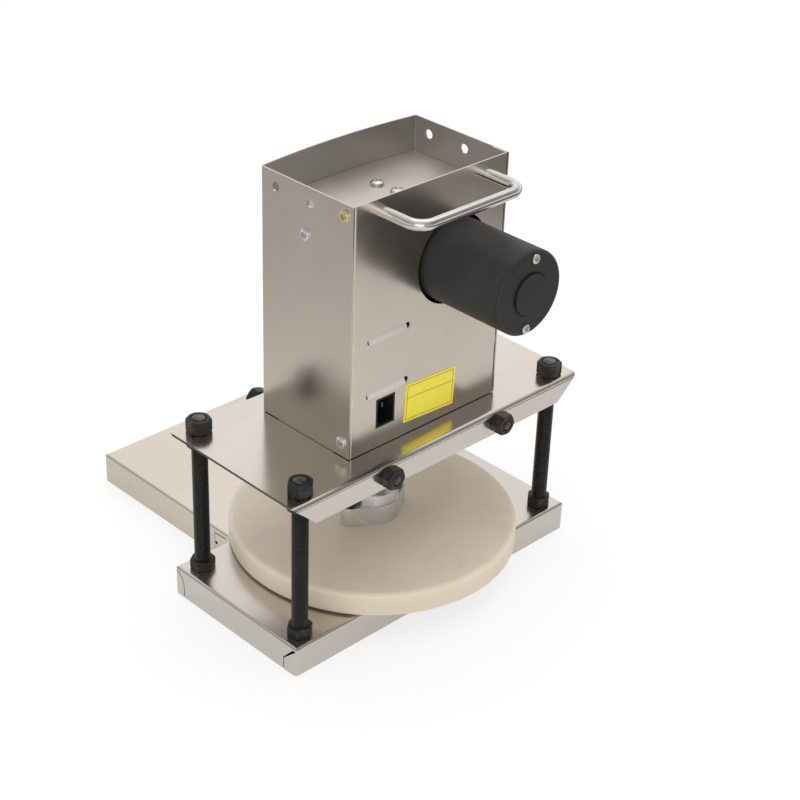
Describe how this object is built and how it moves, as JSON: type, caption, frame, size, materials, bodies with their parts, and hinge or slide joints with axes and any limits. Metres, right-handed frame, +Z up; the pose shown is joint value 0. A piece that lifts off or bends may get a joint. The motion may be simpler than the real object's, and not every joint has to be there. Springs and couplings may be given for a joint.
{
  "type": "crepe and dough press",
  "caption": "Bench press for crepes and dough: a motor lowers a round plate onto a steel table between threaded columns.",
  "frame": {"origin": "on the bench, midway between the four columns", "axes": "+Z up, +X to the right of a person standing at the front, -Y towards that person along the table, +Y towards the motor"},
  "size_m": [0.286, 0.3492, 0.3335],
  "materials": {
    "stainless": "brushed, half bright",
    "head_stainless": "ground, bright",
    "black_steel": "matte black oxide",
    "bright_screw": "bright zinc",
    "brass_screw": "yellow passivated",
    "polished_rod": "polished stainless",
    "motor_paint": "matte charcoal",
    "cast_alloy": "satin, bright edges",
    "gearbox_alloy": "die cast",
    "gear_steel": "machined and oiled",
    "gear_brass": "machined",
    "bronze": "sintered, oily",
    "frame_steel": "zinc grey",
    "ivory_plate": "smooth, slightly waxy",
    "black_plastic": "satin",
    "block_plastic": "sawn, dull",
    "board_green": "lacquered",
    "sticker_yellow": "printed film",
    "button_green": "smooth",
    "rocker_red": "smooth"
  },
  "bodies": {
    "stand": {"base_frame": "stainless", "front_table": "stainless", "table_bolts": "bright_screw", "table_nuts": "bright_screw", "bed_block": "block_plastic", "column_front_left": "black_steel", "column_front_right": "black_steel", "column_rear_left": "black_steel", "column_rear_right": "black_steel", "foot_nuts": "black_steel", "foot_lock_nuts": "black_steel", "head_plate": "head_stainless", "head_support_nuts": "black_steel", "head_top_nuts": "black_steel", "tie_rod_left": "black_steel", "tie_rod_right": "black_steel", "tie_rod_nuts": "black_steel", "housing_wrap": "stainless", "rear_panel": "stainless", "top_cover": "stainless", "cover_screws": "bright_screw", "housing_screws": "bright_screw", "brass_screws": "brass_screw", "housing_base_screws": "bright_screw", "carry_handle": "polished_rod", "handle_nuts": "bright_screw", "motor_can": "motor_paint", "motor_end_cap": "motor_paint", "motor_screws": "bright_screw", "gearbox": "gearbox_alloy", "gearbox_screws": "bright_screw", "shaft_bearings": "bronze", "gear_frame_front": "frame_steel", "gear_frame_rear": "frame_steel", "frame_posts": "gear_steel", "frame_screws": "bright_screw", "ram_guide_bush": "bronze", "bush_screws": "bright_screw", "ram_back_pad": "bronze", "limit_switches": "black_plastic", "power_inlet": "black_plastic", "inlet_pins": "bright_screw", "control_board": "board_green", "board_posts": "bright_screw", "sticker": "sticker_yellow", "button_body": "bright_screw", "switch_frame": "black_plastic"},
    "press_ram": {"ram": "gear_steel", "switch_flag": "gear_steel", "plate_flange": "cast_alloy", "flange_screws": "black_steel", "press_disc": "ivory_plate"},
    "pinion_shaft_set": {"pinion_shaft": "gear_steel", "rack_pinion": "gear_steel", "driven_gear": "gear_brass", "shaft_clips": "gear_steel"},
    "motor_gear": {"gearbox_shaft": "gear_steel", "drive_gear": "gear_brass"},
    "start_button": {"start_button": "button_green"},
    "power_rocker": {"power_rocker": "rocker_red"}
  },
  "joints": [
    {"name": "ram_slide", "type": "slide", "parent": "stand", "child": "press_ram", "axis": [0, 0, 1], "range_m": [0, 0.045]},
    {"name": "pinion_spin", "type": "hinge", "parent": "stand", "child": "pinion_shaft_set", "pos_m": [-0.022, 0, 0.226], "axis": [0, -1, 0], "range_deg": [0, 192]},
    {"name": "motor_gear_spin", "type": "hinge", "parent": "stand", "child": "motor_gear", "pos_m": [-0.022, 0, 0.268], "axis": [0, 1, 0], "range_deg": [0, 405]},
    {"name": "start_button_press", "type": "slide", "parent": "stand", "child": "start_button", "axis": [0, 1, 0], "range_m": [0, 0.0025], "stiffness_N_per_m": 400, "springref_m": -0.001},
    {"name": "power_rocker_tilt", "type": "hinge", "parent": "stand", "child": "power_rocker", "pos_m": [0, -0.048, 0.1855], "axis": [1, 0, 0], "range_deg": [-20, 0]}
  ],
  "couplings": [
    {"joint": "pinion_spin", "follows": "ram_slide", "rad_per_m": 74.074},
    {"joint": "motor_gear_spin", "follows": "ram_slide", "rad_per_m": 156.38}
  ]
}
